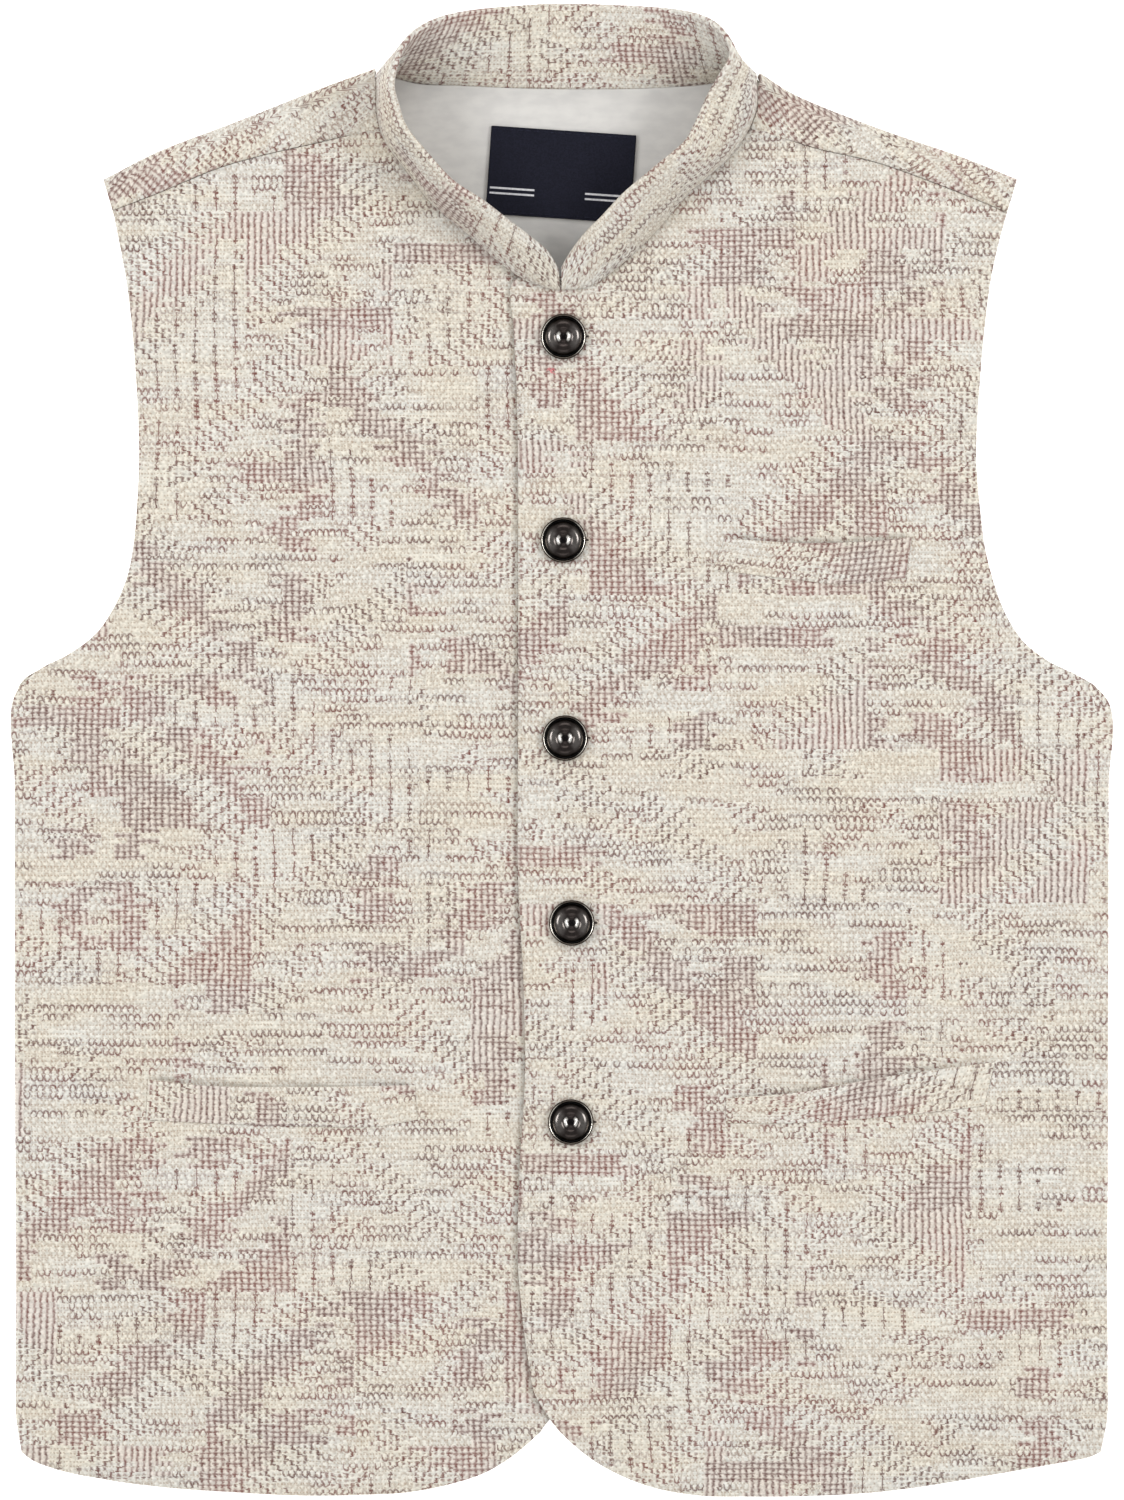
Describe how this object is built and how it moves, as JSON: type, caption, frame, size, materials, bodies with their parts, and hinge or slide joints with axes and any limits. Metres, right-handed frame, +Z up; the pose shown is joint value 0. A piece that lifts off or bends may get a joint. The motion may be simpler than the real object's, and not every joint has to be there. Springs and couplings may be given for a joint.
{
  "type": "sleeveless jacket",
  "caption": "Sleeveless buttoned jacket of nubby jacquard cloth with a standing band collar, welt pockets and a cutaway hem, laid flat with its front up.",
  "frame": {"origin": "middle of the garment's box, on the surface it lies on", "axes": "+Z up from the surface through the front, +Y from the hem to the collar, +X to the wearer's left side"},
  "size_m": [0.4217, 0.5757, 0.0374],
  "materials": {
    "jacquard_cloth": "nubby woven jacquard, cream with fine maroon, charcoal and tan threads",
    "lining": "smooth pale grey plain weave, slight sheen",
    "woven_label": "navy damask weave with pale woven rules",
    "gunmetal": "dark plated dome in a bright rolled rim"
  },
  "bodies": {
    "root": {"back": "jacquard_cloth", "front_left": "jacquard_cloth", "front_right": "jacquard_cloth", "collar": "jacquard_cloth", "chest_welt": "jacquard_cloth", "lower_welt_left": "jacquard_cloth", "lower_welt_right": "jacquard_cloth", "back_neck_lining": "lining", "label": "woven_label", "button_1": "gunmetal", "button_2": "gunmetal", "button_3": "gunmetal", "button_4": "gunmetal", "button_5": "gunmetal"}
  },
  "joints": []
}
